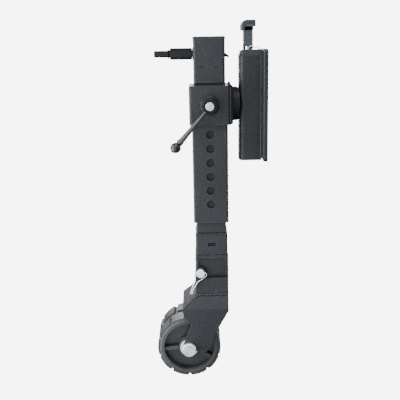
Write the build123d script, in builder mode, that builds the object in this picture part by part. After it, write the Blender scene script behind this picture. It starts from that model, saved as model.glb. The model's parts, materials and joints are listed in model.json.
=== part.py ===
from build123d import *
import os
from math import atan, cos, pi, radians, sin, sqrt, tan

# Side-mount swivel trailer jack with a drill-driven head and a twin-wheel fork.
# Millimetres, +Z up. The origin is the centre of the mounting plate's outer face,
# on the swivel axis (X). The jack's own axis is the vertical line X = TUBE_X, Y = 0.

# ---- driving dimensions -------------------------------------------------------------
TUBE_X = -109.0
RUNNING_GAP = 0.05          # radial clearance of shafts in their bushes
FREE_GAP = 0.3              # clearance between parts of different bodies

PLATE_THICKNESS = 8.0
PLATE_WIDTH = 132.0
PLATE_TOP = 104.0
PLATE_BOTTOM = -106.5
BRACKET_TOP = 105.0
BRACKET_BOTTOM = -110.0
BOLT_SPACING_Y = 90.0
BOLT_SPACING_Z = 150.0
BOLT_HOLE_R = 6.5

CHANNEL_WIDTH = 48.0
CHANNEL_LEFT = TUBE_X + 57.3
CHANNEL_WALL = 4.0
CHANNEL_CORNER = 10.0
CHANNEL_TOP = BRACKET_TOP - 2.0
CAP_THICKNESS = 4.0

PIVOT_R = 17.0              # swivel shaft
PIVOT_BUSH_R = 19.8
PIVOT_END = TUBE_X + 97.0
HUB_R = 33.0
FLANGE_LEFT = TUBE_X + 40.0
HUB_LEFT = TUBE_X + 45.0
HUB_RIGHT = TUBE_X + 55.5

PLUNGER_X = TUBE_X + 79.5
PLUNGER_R = 5.5
PLUNGER_TIP = PIVOT_R + 1.3
STEM_X = TUBE_X + 75.7
STEM_WIDTH = 19.0
STEM_BOTTOM = 108.8
STEM_TOP = 146.0

COLLAR_OUTER = 80.0
COLLAR_INNER = 71.0
COLLAR_HALF = 37.5
LINER_HEIGHT = 10.0
LINER_OUTER = 75.0
LINER_INNER = 70.6
BOSS_R = 15.0
BOSS_FRONT = -48.0
LOCK_PIN_R = 8.0
LOCK_PIN_TIP = -35.6
LOCK_DISC_R = 8.0
LOCK_DISC_FRONT = -60.5

TUBE_OUTER = 70.0
TUBE_WALL = 4.5
TUBE_TOP = 36.5
TUBE_BOTTOM = -234.0
HOLE_PITCH = 28.0
HOLE_COUNT = 8
HOLE_R = 8.5

HEAD_OUTER = 60.6
HEAD_WALL = 4.3
HEAD_BOTTOM = 14.0
HEAD_TOP = 124.0
CAP_TOP = 129.0
INPUT_Z = 97.0
INPUT_R = 7.0
GEAR_MODULE = 1.8
PINION_TEETH = 12
GEAR_TEETH = 24
SCREW_R = 10.0
SCREW_BOTTOM = -214.0

LEG_OUTER = 60.0
LEG_WALL = 4.0
LEG_TOP = 12.0
LEG_BOTTOM = -392.0
SLEEVE_OUTER = 65.0
SLEEVE_TOP = -258.0
SLEEVE_BOTTOM = -302.0

SOCKET_OUTER = 67.4
SOCKET_TOP = -303.5
SOCKET_BOTTOM = -404.0
HITCH_X = TUBE_X - 23.5
HITCH_Z = -339.0
HITCH_R = 7.0

FORK_PLATE = 5.5
FORK_TOP_Z = -351.0
FORK_KNEE_Z = -386.0
FORK_SHOULDER_Z = -414.0
FORK_TOP_Y = 39.2           # outer face of the fork's upper plate
FORK_ARM_Y = 51.0           # outer face of the fork's arm
FORK_RIGHT = TUBE_X + 33.0
FORK_LEFT = TUBE_X - 62.0

AXLE_X = TUBE_X - 50.0
AXLE_Z = -502.5
ARM_END_R = 15.5
AXLE_R = 10.0
WHEEL_R = 66.0
WHEEL_WIDTH = 36.0
WHEEL_MID_Y = 24.2
LUG_COUNT = 10
SPOKE_ANGLES = (78, 186, 330)


def level(height):
    """Horizontal plane on the jack's axis."""
    return Plane((TUBE_X, 0, height))


def facing_front(x, y, z):
    """Upright plane that faces the front (-Y), its x axis along +X, its y axis up."""
    return Plane((x, y, z), x_dir=(1, 0, 0), z_dir=(0, -1, 0))


def facing_back(x, y, z):
    """Upright plane that faces the back (+Y), its x axis along -X, its y axis up."""
    return Plane((x, y, z), x_dir=(-1, 0, 0), z_dir=(0, 1, 0))


def facing_right(x, y, z):
    """Upright plane that faces +X, its x axis along +Y, its y axis up."""
    return Plane((x, y, z), x_dir=(0, 1, 0), z_dir=(1, 0, 0))


def save(piece, label):
    """Label a finished sub-part and write its STEP file."""
    piece.part.label = label
    export_step(piece.part, f"parts/{label}.step")


def square_tube(outer, inner, bottom, top, corner):
    """Hollow square section on the jack's axis."""
    with BuildPart() as tube:
        with BuildSketch(level(bottom)):
            RectangleRounded(outer, outer, corner)
            RectangleRounded(inner, inner, max(corner - (outer - inner) / 2, 0.8), mode=Mode.SUBTRACT)
        extrude(amount=top - bottom)
    return tube


def ring(plane, outer_r, inner_r, length, edge=0.0):
    """Plain ring from its plane along the plane's normal."""
    with BuildPart() as part:
        with BuildSketch(plane):
            Circle(outer_r)
            if inner_r:
                Circle(inner_r, mode=Mode.SUBTRACT)
        extrude(amount=length)
        if edge:
            outer_edges = part.edges().filter_by(GeomType.CIRCLE)
            chamfer([e for e in outer_edges if e.radius > outer_r - 0.01], edge)
    return part


def bevel_gear(teeth, mate_teeth, face, bore_r, back, phase):
    """Straight bevel gear about +Z, its cone's apex at the origin.

    phase is the turn, in tooth pitches, of the first tooth gap from the +X side."""
    cone = atan(teeth / mate_teeth)
    reach = GEAR_MODULE * sqrt(teeth**2 + mate_teeth**2) / 2
    addendum = GEAR_MODULE
    dedendum = 1.3 * GEAR_MODULE
    inner = (reach - face) / reach
    tip = (reach * sin(cone) + addendum * cos(cone), reach * cos(cone) - addendum * sin(cone))
    root = (reach * sin(cone) - dedendum * cos(cone), reach * cos(cone) + dedendum * sin(cone))
    gap_half = 0.31 * pi * GEAR_MODULE
    flank = tan(radians(20))

    with BuildPart() as gap:
        for place in (reach + 2.5, reach - face - 1.5):
            scale = place / reach
            along = Vector(sin(cone), 0, cos(cone))
            with BuildSketch(Plane(along * place, x_dir=(0, 1, 0), z_dir=along)):
                with BuildLine():
                    low = (gap_half - dedendum * flank) * scale
                    high = (gap_half + 2 * addendum * flank) * scale
                    side = -1 if Plane(along, x_dir=(0, 1, 0), z_dir=along).y_dir.X > 0 else 1
                    Polyline(
                        (-low, side * dedendum * scale),
                        (low, side * dedendum * scale),
                        (high, -side * 2 * addendum * scale),
                        (-high, -side * 2 * addendum * scale),
                        close=True,
                    )
                make_face()
        loft()

    with BuildPart() as gear:
        with BuildSketch(Plane.XZ):
            with BuildLine():
                Polyline(
                    (bore_r, tip[1] * inner),
                    (tip[0] * inner, tip[1] * inner),
                    tip,
                    root,
                    (root[0], back),
                    (bore_r, back),
                    close=True,
                )
            make_face()
        revolve(axis=Axis.Z)
        with PolarLocations(0, teeth, start_angle=phase * 360 / teeth):
            add(gap.part, mode=Mode.SUBTRACT)
    return gear


os.makedirs("parts", exist_ok=True)

# ---- fixed bracket ------------------------------------------------------------------
bracket_height = BRACKET_TOP - BRACKET_BOTTOM

with BuildPart() as mounting_plate:
    with BuildSketch(facing_right(-PLATE_THICKNESS, 0, (PLATE_TOP + PLATE_BOTTOM) / 2)):
        RectangleRounded(PLATE_WIDTH, PLATE_TOP - PLATE_BOTTOM, 6)
    extrude(amount=PLATE_THICKNESS)
    chamfer(mounting_plate.faces().sort_by(Axis.X)[0].outer_wire().edges(), 0.8)
    with BuildSketch(facing_right(-PLATE_THICKNESS - 1, 0, 0)):
        with GridLocations(BOLT_SPACING_Y, BOLT_SPACING_Z, 2, 2):
            Circle(BOLT_HOLE_R)
    extrude(amount=PLATE_THICKNESS + 2, mode=Mode.SUBTRACT)
save(mounting_plate, "mounting_plate")

channel_depth = -PLATE_THICKNESS - CHANNEL_LEFT
channel_mid_x = CHANNEL_LEFT + channel_depth / 2
with BuildPart() as bracket_channel:
    with BuildSketch(Plane((channel_mid_x, 0, BRACKET_BOTTOM))):
        Rectangle(channel_depth, CHANNEL_WIDTH)
    extrude(amount=CHANNEL_TOP - BRACKET_BOTTOM)
    left_face = bracket_channel.faces().sort_by(Axis.X)[0]
    fillet(left_face.edges().filter_by(Axis.Z), CHANNEL_CORNER)
    chamfer(bracket_channel.faces().sort_by(Axis.X)[0].edges().sort_by(Axis.Z)[-1], 11, 4)
    with BuildSketch(Plane((channel_mid_x + CHANNEL_WALL, 0, BRACKET_BOTTOM - 1))):
        Rectangle(channel_depth, CHANNEL_WIDTH - 2 * CHANNEL_WALL)
    extrude(amount=bracket_height + 2, mode=Mode.SUBTRACT)
    with BuildSketch(facing_right(CHANNEL_LEFT - 1, 0, 0)):
        Circle(PIVOT_BUSH_R)
    extrude(amount=CHANNEL_WALL + 2, mode=Mode.SUBTRACT)
save(bracket_channel, "bracket_channel")

cap_depth = channel_depth - CHANNEL_WALL
cap_mid_x = CHANNEL_LEFT + CHANNEL_WALL + cap_depth / 2
cap_width = CHANNEL_WIDTH - 2 * CHANNEL_WALL
GUIDE_R = 9.0
GUIDE_LENGTH = 22.0
TONGUE_LEFT = STEM_X - STEM_WIDTH / 2
TONGUE_DEPTH = 10.0
TONGUE_THICKNESS = 5.0

with BuildPart() as channel_top_cap:
    with BuildSketch(Plane((cap_mid_x, 0, CHANNEL_TOP - 5 - CAP_THICKNESS))):
        Rectangle(cap_depth, cap_width)
        with Locations((PLUNGER_X - cap_mid_x, 0)):
            Circle(GUIDE_R, mode=Mode.SUBTRACT)
        with Locations((TONGUE_LEFT + TONGUE_THICKNESS / 2 - cap_mid_x, 0)):
            Rectangle(TONGUE_THICKNESS + 0.8, TONGUE_DEPTH + 0.8, mode=Mode.SUBTRACT)
    extrude(amount=CAP_THICKNESS)
save(channel_top_cap, "channel_top_cap")

with BuildPart() as channel_bottom_cap:
    with BuildSketch(Plane((cap_mid_x, 0, BRACKET_BOTTOM + 1))):
        Rectangle(cap_depth, cap_width)
    extrude(amount=CAP_THICKNESS)
save(channel_bottom_cap, "channel_bottom_cap")

# Flanged bush: the sleeve carries the swivel shaft, the flange takes the hub's thrust.
with BuildPart() as swivel_bush:
    with BuildSketch(facing_right(CHANNEL_LEFT - 1.5, 0, 0)):
        Circle(HUB_R - 2)
    extrude(amount=1.5)
    with BuildSketch(facing_right(CHANNEL_LEFT, 0, 0)):
        Circle(PIVOT_BUSH_R)
    extrude(amount=9)
    with BuildSketch(facing_right(CHANNEL_LEFT - 2, 0, 0)):
        Circle(PIVOT_R + RUNNING_GAP)
    extrude(amount=12, mode=Mode.SUBTRACT)
save(swivel_bush, "swivel_bush")

WEB_LEFT = TUBE_X + 88.0
WEB_THICKNESS = 5.0
with BuildPart() as shaft_web:
    with BuildSketch(facing_right(WEB_LEFT, 0, 0)):
        Rectangle(cap_width, 56)
        Circle(PIVOT_R + RUNNING_GAP, mode=Mode.SUBTRACT)
    extrude(amount=WEB_THICKNESS)
save(shaft_web, "shaft_web")

GUIDE_TOP = CHANNEL_TOP - 2.0
GUIDE_BORE_R = PLUNGER_R + RUNNING_GAP
with BuildPart() as plunger_guide:
    with BuildSketch(Plane((PLUNGER_X, 0, GUIDE_TOP - GUIDE_LENGTH))):
        Circle(GUIDE_R)
        with Locations((-GUIDE_R, 0)):
            Rectangle(2 * (GUIDE_R - 6.3), 2 * GUIDE_R, mode=Mode.SUBTRACT)
        Circle(GUIDE_BORE_R, mode=Mode.SUBTRACT)
    extrude(amount=GUIDE_LENGTH)
save(plunger_guide, "plunger_guide")

with BuildPart() as guide_keeper:
    with BuildSketch(Plane((PLUNGER_X + 5, 0, GUIDE_TOP))):
        RectangleRounded(23, 18, 3)
        with Locations((-5, 0)):
            Circle(GUIDE_BORE_R + 0.3, mode=Mode.SUBTRACT)
    extrude(amount=1.5)
save(guide_keeper, "guide_keeper")

# Compression spring between the guide and the plunger's collar.
SPRING_TOP = GUIDE_TOP - GUIDE_LENGTH - 0.2
SPRING_COIL_R = 7.2
SPRING_WIRE_R = 0.9
PLUNGER_COLLAR_Z = 48.0
spring_low = PLUNGER_COLLAR_Z + 3 + SPRING_WIRE_R + 0.1
spring_high = SPRING_TOP - SPRING_WIRE_R
with BuildPart() as plunger_spring:
    with BuildLine():
        Helix(4.2, spring_high - spring_low, SPRING_COIL_R, center=(PLUNGER_X, 0, spring_low))
    with BuildSketch(Plane((PLUNGER_X + SPRING_COIL_R, 0, spring_low), z_dir=(0, 1, 0.09))):
        Circle(SPRING_WIRE_R)
    sweep()
save(plunger_spring, "plunger_spring")

# ---- swivel lock plunger ------------------------------------------------------------
with BuildPart() as lock_plunger:
    with BuildSketch(Plane((PLUNGER_X, 0, PLUNGER_TIP))):
        Circle(PLUNGER_R)
    extrude(amount=STEM_BOTTOM + 12 - PLUNGER_TIP)
    chamfer(lock_plunger.faces().sort_by(Axis.Z)[0].edges(), 1.2)
    with BuildSketch(Plane((PLUNGER_X, 0, PLUNGER_COLLAR_Z))):
        Circle(8.4)
    extrude(amount=3)
save(lock_plunger, "lock_plunger")

STEM_DEPTH = 14.0
PANEL_MID_Z = 130.0
PANEL_HEIGHT = 22.0
with BuildPart() as pull_stem:
    with BuildSketch(Plane((STEM_X, 0, STEM_BOTTOM))):
        RectangleRounded(STEM_WIDTH, STEM_DEPTH, 2.5)
    extrude(amount=STEM_TOP - STEM_BOTTOM)
    with BuildSketch(Plane((TONGUE_LEFT + TONGUE_THICKNESS / 2, 0, 84))):
        Rectangle(TONGUE_THICKNESS, TONGUE_DEPTH)
    extrude(amount=STEM_BOTTOM - 84 + 2)
    with BuildSketch(Plane((PLUNGER_X, 0, STEM_BOTTOM - 1))):
        Circle(PLUNGER_R)
    extrude(amount=13, mode=Mode.SUBTRACT)
    with BuildSketch(Plane((STEM_X, 0, STEM_BOTTOM + 7.4))):
        Rectangle(STEM_WIDTH + 2, STEM_DEPTH + 2)
        RectangleRounded(STEM_WIDTH - 2, STEM_DEPTH - 2, 1.8, mode=Mode.SUBTRACT)
    extrude(amount=1.8, mode=Mode.SUBTRACT)
    for panel_plane in (
        facing_front(STEM_X, -STEM_DEPTH / 2, PANEL_MID_Z),
        facing_back(STEM_X, STEM_DEPTH / 2, PANEL_MID_Z),
    ):
        with BuildSketch(panel_plane):
            RectangleRounded(STEM_WIDTH - 6.5, PANEL_HEIGHT, 1)
        extrude(amount=-1.0, mode=Mode.SUBTRACT)
save(pull_stem, "pull_stem")

# Hammer-shaped grip, turned about the stem so that its drooped nose comes forward and left.
GRIP_YAW = 15.0
GRIP_BACK = 14.6
GRIP_NOSE = -14.4
GRIP_TOP = 158.5
GRIP_UNDERSIDE = STEM_TOP
NOSE_TIP = 138.5
GRIP_WIDTH = 12.0
grip_along = Vector(cos(radians(GRIP_YAW)), sin(radians(GRIP_YAW)), 0)
grip_side = grip_along.cross(Vector(0, 0, 1))
grip_plane = Plane(Vector(STEM_X, 0, 0) - grip_side * (GRIP_WIDTH / 2), x_dir=grip_along, z_dir=grip_side)
with BuildPart() as t_grip:
    with BuildSketch(grip_plane):
        with BuildLine():
            Polyline(
                (GRIP_NOSE, GRIP_TOP - 10),
                (GRIP_NOSE, NOSE_TIP),
                (GRIP_NOSE + 6.5, NOSE_TIP),
                (GRIP_NOSE + 8.5, GRIP_UNDERSIDE),
                (GRIP_BACK, GRIP_UNDERSIDE),
                (GRIP_BACK, GRIP_TOP),
                (-3, GRIP_TOP),
            )
            ThreePointArc((-3, GRIP_TOP), (-10.5, GRIP_TOP - 3.4), (GRIP_NOSE, GRIP_TOP - 10))
        make_face()
    extrude(amount=GRIP_WIDTH)
    fillet(t_grip.edges(), 2.0)
    with BuildSketch(Plane((STEM_X, 0, STEM_TOP - 2))):
        RectangleRounded(STEM_WIDTH - 1, STEM_DEPTH - 0.5, 2.5)
    extrude(amount=6)
    with BuildSketch(Plane((STEM_X, 0, STEM_BOTTOM + 4))):
        RectangleRounded(STEM_WIDTH, STEM_DEPTH, 2.5)
    extrude(amount=STEM_TOP - STEM_BOTTOM - 4, mode=Mode.SUBTRACT)
save(t_grip, "t_grip")

# ---- collar on the swivel -----------------------------------------------------------
with BuildPart() as mounting_collar:
    with BuildSketch(level(-COLLAR_HALF)):
        RectangleRounded(COLLAR_OUTER, COLLAR_OUTER, 5)
        RectangleRounded(COLLAR_INNER, COLLAR_INNER, 4, mode=Mode.SUBTRACT)
    extrude(amount=2 * COLLAR_HALF)
    for liner_base in (-COLLAR_HALF - 1, COLLAR_HALF - LINER_HEIGHT):
        with BuildSketch(level(liner_base)):
            RectangleRounded(LINER_OUTER, LINER_OUTER, 4)
        extrude(amount=LINER_HEIGHT + 1, mode=Mode.SUBTRACT)
    with BuildSketch(facing_front(TUBE_X, -COLLAR_OUTER / 2 - 1, 0)):
        Circle(LOCK_PIN_R + RUNNING_GAP)
    extrude(amount=-COLLAR_OUTER / 2, mode=Mode.SUBTRACT)
save(mounting_collar, "mounting_collar")

# The upper liner has a lip that stands on the collar's front right corner.
LIP_HEIGHT = 6.0
with BuildPart() as upper_liner:
    with BuildSketch(level(COLLAR_HALF - LINER_HEIGHT)):
        RectangleRounded(LINER_OUTER, LINER_OUTER, 4)
        RectangleRounded(LINER_INNER, LINER_INNER, 2.5, mode=Mode.SUBTRACT)
    extrude(amount=LINER_HEIGHT)
    with BuildSketch(level(COLLAR_HALF)):
        with Locations((37.65, -23)):
            RectangleRounded(4.6, 26, 1.2)
    extrude(amount=LIP_HEIGHT)
save(upper_liner, "upper_liner")
save(square_tube(LINER_OUTER, LINER_INNER, -COLLAR_HALF, LINER_HEIGHT - COLLAR_HALF, 4), "lower_liner")

with BuildPart() as lock_boss:
    with BuildSketch(facing_front(TUBE_X, -COLLAR_OUTER / 2, 0)):
        Circle(BOSS_R)
    extrude(amount=-BOSS_FRONT - COLLAR_OUTER / 2)
    chamfer(lock_boss.faces().sort_by(Axis.Y)[0].edges(), 1.2)
    with BuildSketch(facing_front(TUBE_X, BOSS_FRONT - 1, 0)):
        Circle(LOCK_PIN_R + RUNNING_GAP)
    extrude(amount=-20, mode=Mode.SUBTRACT)
save(lock_boss, "lock_boss")

FLANGE_HALF = 38.0
with BuildPart() as swivel_flange:
    with BuildSketch(facing_right(FLANGE_LEFT, 0, 0)):
        Rectangle(2 * FLANGE_HALF, 2 * FLANGE_HALF)
    with BuildSketch(facing_right(HUB_LEFT, 0, 0)):
        Rectangle(2 * HUB_R + 4, 2 * HUB_R + 4)
    loft()
    fillet(swivel_flange.edges().filter_by(lambda e: e.length < 8), 1.5)
save(swivel_flange, "swivel_flange")
save(ring(facing_right(HUB_LEFT, 0, 0), HUB_R, PIVOT_R, HUB_RIGHT - HUB_LEFT, 1.0), "swivel_hub")

# The swivel shaft's four cross holes take the plunger at every quarter turn.
RING_GROOVE_LEFT = WEB_LEFT + WEB_THICKNESS + 0.4
RING_WIDTH = 1.6
with BuildPart() as swivel_shaft:
    with BuildSketch(facing_right(HUB_LEFT, 0, 0)):
        Circle(PIVOT_R)
        Circle(7, mode=Mode.SUBTRACT)
    extrude(amount=PIVOT_END - HUB_LEFT)
    chamfer(swivel_shaft.faces().sort_by(Axis.X)[-1].outer_wire().edges(), 1)
    for cross in (Plane.XY, Plane.XZ):
        with BuildSketch(Plane((PLUNGER_X, 0, 0), x_dir=(1, 0, 0), z_dir=cross.z_dir)):
            Circle(PLUNGER_R + 0.3)
        extrude(amount=PIVOT_R + 1, both=True, mode=Mode.SUBTRACT)
    with BuildSketch(facing_right(RING_GROOVE_LEFT, 0, 0)):
        Circle(PIVOT_R + 1)
        Circle(PIVOT_R - 1.2, mode=Mode.SUBTRACT)
    extrude(amount=RING_WIDTH, mode=Mode.SUBTRACT)
save(swivel_shaft, "swivel_shaft")

with BuildPart() as shaft_ring:
    with BuildSketch(facing_right(RING_GROOVE_LEFT + 0.1, 0, 0)):
        Circle(PIVOT_R + 2.2)
        Circle(PIVOT_R - 1.15, mode=Mode.SUBTRACT)
        with Locations((0, -PIVOT_R)):
            Rectangle(9, 8, mode=Mode.SUBTRACT)
    extrude(amount=RING_WIDTH - 0.2)
save(shaft_ring, "shaft_ring")

# ---- height lock: lever nut and pin -------------------------------------------------
LEVER_NUT_R = 14.6
LEVER_NUT_BACK = BOSS_FRONT - 0.3
LEVER_NUT_FRONT = LEVER_NUT_BACK - 9.2
NUT_RECESS = 5.6             # lets the pin's disc sink in as the pin goes home
KNOB_R = 10.0
knob_centre = Vector(TUBE_X - 65.6, -90, -72)
lever_root = Vector(TUBE_X - 3.5, LEVER_NUT_FRONT + 3.4, -4.5)
lever_dir = (knob_centre - lever_root).normalized()
lever_length = (knob_centre - lever_root).length

with BuildPart() as lever_nut:
    with BuildSketch(facing_front(TUBE_X, LEVER_NUT_BACK, 0)):
        Circle(LEVER_NUT_R)
        Circle(LOCK_PIN_R + RUNNING_GAP, mode=Mode.SUBTRACT)
    extrude(amount=LEVER_NUT_BACK - LEVER_NUT_FRONT)
    chamfer(lever_nut.faces().sort_by(Axis.Y)[0].outer_wire().edges(), 1)
    with BuildSketch(facing_front(TUBE_X, LEVER_NUT_FRONT, 0)):
        Circle(LOCK_DISC_R + FREE_GAP)
    extrude(amount=-NUT_RECESS, mode=Mode.SUBTRACT)
save(lever_nut, "lever_nut")

ARM_START = 7.5
FERRULE_LENGTH = 9.0
ARM_END_R = 5.3
ROD_END_R = 3.2
ferrule_start = lever_length - KNOB_R - FERRULE_LENGTH + 1.5
with BuildPart() as lever_arm:
    with BuildSketch(Plane(lever_root + lever_dir * ARM_START, z_dir=lever_dir)):
        Circle(2.3)
    with BuildSketch(Plane(lever_root + lever_dir * (ferrule_start * 0.55), z_dir=lever_dir)):
        Circle(4.3)
    loft()
    with BuildSketch(Plane(lever_root + lever_dir * (ferrule_start * 0.55), z_dir=lever_dir)):
        Circle(4.3)
    with BuildSketch(Plane(lever_root + lever_dir * ferrule_start, z_dir=lever_dir)):
        Circle(ARM_END_R)
    loft()
    with BuildSketch(facing_front(TUBE_X, LEVER_NUT_BACK + 1, 0)):
        Circle(LEVER_NUT_R)
    extrude(amount=12, mode=Mode.SUBTRACT)
save(lever_arm, "lever_arm")

knob_plane = Plane(knob_centre, z_dir=lever_dir)
with BuildPart() as lever_rod_end:
    with BuildSketch(Plane(lever_root + lever_dir * ferrule_start, z_dir=lever_dir)):
        Circle(ARM_END_R + 0.9)
    extrude(amount=FERRULE_LENGTH - 1.5)
    chamfer(lever_rod_end.edges(), 0.6)
    with BuildSketch(knob_plane):
        Circle(ROD_END_R)
    extrude(amount=KNOB_R + 0.3)
    with BuildSketch(knob_plane):
        Circle(ROD_END_R)
    extrude(amount=-KNOB_R - 2)
save(lever_rod_end, "lever_rod_end")

with BuildPart() as lever_knob:
    with Locations(knob_centre):
        Sphere(KNOB_R)
    with BuildSketch(knob_plane):
        Circle(ROD_END_R)
    extrude(amount=2 * KNOB_R, both=True, mode=Mode.SUBTRACT)
save(lever_knob, "lever_knob")

with BuildPart() as lock_pin:
    with BuildSketch(facing_front(TUBE_X, LOCK_PIN_TIP, 0)):
        Circle(LOCK_PIN_R)
    extrude(amount=LOCK_PIN_TIP - LOCK_DISC_FRONT - 2)
    chamfer(lock_pin.faces().sort_by(Axis.Y)[-1].edges(), 0.8)
    with BuildSketch(facing_front(TUBE_X, LOCK_DISC_FRONT + 2.4, 0)):
        Circle(LOCK_DISC_R)
    extrude(amount=2.4)
    chamfer(lock_pin.faces().sort_by(Axis.Y)[0].edges(), 0.7)
save(lock_pin, "lock_pin")

# ---- jack tube and head -------------------------------------------------------------
with BuildPart() as outer_tube:
    add(square_tube(TUBE_OUTER, TUBE_OUTER - 2 * TUBE_WALL, TUBE_BOTTOM, TUBE_TOP, 4).part)
    with BuildSketch(facing_front(TUBE_X, -TUBE_OUTER / 2 - 1, 0)):
        for hole in range(HOLE_COUNT):
            with Locations((0, -hole * HOLE_PITCH)):
                Circle(HOLE_R)
    extrude(amount=-TUBE_WALL - 2, mode=Mode.SUBTRACT)
save(outer_tube, "outer_tube")

# The lower slot leaves the front panel short of the collar; a small bead edges it.
SLOT_HALF = 27.5
HEAD_PANEL_BOTTOM = 43.0
GRUB_R = 3.0
with BuildPart() as head_housing:
    add(square_tube(HEAD_OUTER, HEAD_OUTER - 2 * HEAD_WALL, HEAD_BOTTOM, HEAD_TOP, 4.5).part)
    with BuildSketch(level(TUBE_TOP + 0.5)):
        with Locations((0, -HEAD_OUTER / 2)):
            Rectangle(2 * SLOT_HALF, 6)
    extrude(amount=HEAD_PANEL_BOTTOM - TUBE_TOP - 0.5, mode=Mode.SUBTRACT)
    with BuildSketch(facing_front(TUBE_X, -HEAD_OUTER / 2 + 0.2, HEAD_PANEL_BOTTOM + 1.3)):
        RectangleRounded(2 * SLOT_HALF - 2, 2.2, 0.8)
    extrude(amount=1.0)
    with BuildSketch(facing_right(TUBE_X - HEAD_OUTER / 2 - 1, 0, INPUT_Z)):
        Circle(9)
    extrude(amount=HEAD_WALL + 2, mode=Mode.SUBTRACT)
    with BuildSketch(facing_right(TUBE_X + HEAD_OUTER / 2 - HEAD_WALL - 1, 0, INPUT_Z)):
        Circle(9)
    extrude(amount=HEAD_WALL + 2, mode=Mode.SUBTRACT)
    with BuildSketch(facing_right(TUBE_X + HEAD_OUTER / 2 - HEAD_WALL - 1, -15, INPUT_Z - 3)):
        Circle(2.5)
    extrude(amount=HEAD_WALL + 2, mode=Mode.SUBTRACT)
    with BuildSketch(facing_front(TUBE_X, -HEAD_OUTER / 2 - 1, 72)):
        with Locations((-14, 0), (14, 0)):
            Circle(GRUB_R)
    extrude(amount=-HEAD_WALL - 2, mode=Mode.SUBTRACT)
save(head_housing, "head_housing")

with BuildPart() as head_cap:
    with BuildSketch(level(HEAD_TOP)):
        RectangleRounded(HEAD_OUTER + 1.6, HEAD_OUTER + 1.6, 5.3)
    extrude(amount=CAP_TOP - HEAD_TOP)
    fillet(head_cap.faces().sort_by(Axis.Z)[-1].edges(), 2)
    with BuildSketch(level(HEAD_TOP)):
        RectangleRounded(51.6, 51.6, 2)
    extrude(amount=-4)
save(head_cap, "head_cap")

# Blind-hole grub screws that hold the bearing block, their sockets facing forward.
with BuildPart() as block_screws:
    with BuildSketch(facing_front(TUBE_X, -HEAD_OUTER / 2 + 9, 72)):
        with Locations((-14, 0), (14, 0)):
            Circle(GRUB_R)
    extrude(amount=6.2)
    with BuildSketch(facing_front(TUBE_X, -HEAD_OUTER / 2 + 5.2, 72)):
        with Locations((-14, 0), (14, 0)):
            RegularPolygon(1.5, 6)
    extrude(amount=4, mode=Mode.SUBTRACT)
save(block_screws, "block_screws")

BLOCK_TOP = 75.5
BLOCK_BOTTOM = 60.0
BLOCK_SIZE = HEAD_OUTER - 2 * HEAD_WALL
SCREW_NECK_R = 8.0
with BuildPart() as bearing_block:
    with BuildSketch(level(BLOCK_BOTTOM)):
        RectangleRounded(BLOCK_SIZE, BLOCK_SIZE, 1)
        Circle(SCREW_NECK_R + RUNNING_GAP, mode=Mode.SUBTRACT)
    extrude(amount=BLOCK_TOP - BLOCK_BOTTOM)
    add(block_screws.part, mode=Mode.SUBTRACT)
save(bearing_block, "bearing_block")
save(ring(level(BLOCK_TOP), 15, SCREW_NECK_R + RUNNING_GAP, 3.7, 0.4), "thrust_bearing")

# Input bush: its boss shows on the left of the head.
with BuildPart() as input_bush:
    with BuildSketch(facing_right(TUBE_X - HEAD_OUTER / 2 - 1.4, 0, INPUT_Z)):
        Circle(11.5)
    extrude(amount=1.4)
    chamfer(input_bush.faces().sort_by(Axis.X)[0].edges(), 0.6)
    with BuildSketch(facing_right(TUBE_X - HEAD_OUTER / 2, 0, INPUT_Z)):
        Circle(9)
    extrude(amount=HEAD_WALL)
    with BuildSketch(facing_right(TUBE_X - 35, 0, INPUT_Z)):
        Circle(INPUT_R + RUNNING_GAP)
    extrude(amount=12, mode=Mode.SUBTRACT)
save(input_bush, "input_bush")

FAR_END_R = 5.0
with BuildPart() as far_bush:
    with BuildSketch(facing_right(TUBE_X + HEAD_OUTER / 2 - HEAD_WALL - 2, 0, INPUT_Z)):
        Circle(9)
    extrude(amount=HEAD_WALL + 2)
    with BuildSketch(facing_right(TUBE_X + HEAD_OUTER / 2 - HEAD_WALL - 3, 0, INPUT_Z)):
        Circle(FAR_END_R + RUNNING_GAP)
    extrude(amount=HEAD_WALL + 1.5, mode=Mode.SUBTRACT)
save(far_bush, "far_bush")

nipple_base = Vector(TUBE_X + HEAD_OUTER / 2, -15, INPUT_Z - 3)
nipple_dir = Vector(cos(radians(35)), 0, -sin(radians(35)))
with BuildPart() as grease_nipple:
    with BuildSketch(facing_right(nipple_base.X - HEAD_WALL, nipple_base.Y, nipple_base.Z)):
        Circle(2.5)
    extrude(amount=HEAD_WALL)
    with BuildSketch(facing_right(nipple_base.X, nipple_base.Y, nipple_base.Z)):
        RegularPolygon(4, 6)
    extrude(amount=2.6)
    with BuildSketch(Plane(nipple_base + Vector(2, 0, 0.4), z_dir=nipple_dir)):
        Circle(2.2)
    extrude(amount=5)
    with Locations(nipple_base + Vector(2, 0, 0.4) + nipple_dir * 5):
        Sphere(2.4)
save(grease_nipple, "grease_nipple")

# Guide at the tube's lower end for the sliding leg.
with BuildPart() as leg_guide:
    with BuildSketch(level(TUBE_BOTTOM + 2)):
        RectangleRounded(60.98, 60.98, 1.5)
        RectangleRounded(LEG_OUTER + 0.3, LEG_OUTER + 0.3, 3.1, mode=Mode.SUBTRACT)
    extrude(amount=24)
save(leg_guide, "leg_guide")

# ---- drive: input shaft, bevel gears, screw -----------------------------------------
input_plane = Plane((TUBE_X, 0, INPUT_Z), x_dir=(0, 0, -1), z_dir=(-1, 0, 0))
screw_plane = Plane((TUBE_X, 0, INPUT_Z), x_dir=(-1, 0, 0), z_dir=(0, 0, -1))
PINION_BACK = 25.4
PINION_BORE_R = 6.0
pinion_local = bevel_gear(PINION_TEETH, GEAR_TEETH, 7, PINION_BORE_R, PINION_BACK, 0.5)
gear_local = bevel_gear(GEAR_TEETH, PINION_TEETH, 7, SCREW_NECK_R, 17.6, 0)

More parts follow.
